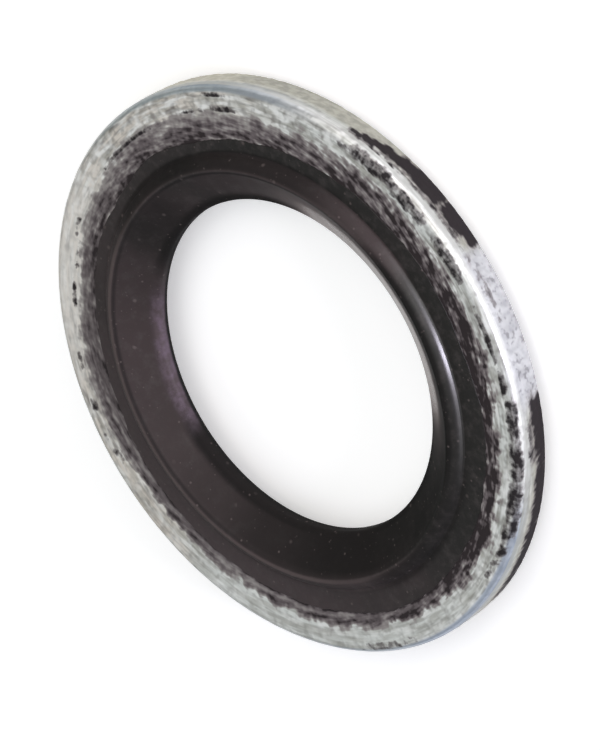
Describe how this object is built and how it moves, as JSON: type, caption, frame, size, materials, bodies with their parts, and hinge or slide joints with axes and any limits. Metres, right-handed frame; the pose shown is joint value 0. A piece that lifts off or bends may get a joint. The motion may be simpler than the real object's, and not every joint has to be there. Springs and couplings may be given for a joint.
{
  "type": "bonded sealing washer",
  "caption": "Flat steel ring with a moulded rubber seal bonded to its inner edge, a raised bead on each face, for sealing a clamped tube fitting or bolt.",
  "frame": {"origin": "on the washer's axis, in the plane of the lower bead's crest, which is what it lies on", "axes": "+Z along the axis of the washer, towards the face whose outer edge is rolled round; the washer is round, so X and Y are free"},
  "size_m": [0.027, 0.027, 0.0029],
  "materials": {
    "zinc_steel": "dull zinc plate, stained with moulding rubber",
    "black_rubber": "moulded, semi-gloss"
  },
  "bodies": {
    "root": {"steel_ring": "zinc_steel", "rubber_seal": "black_rubber"}
  },
  "joints": []
}
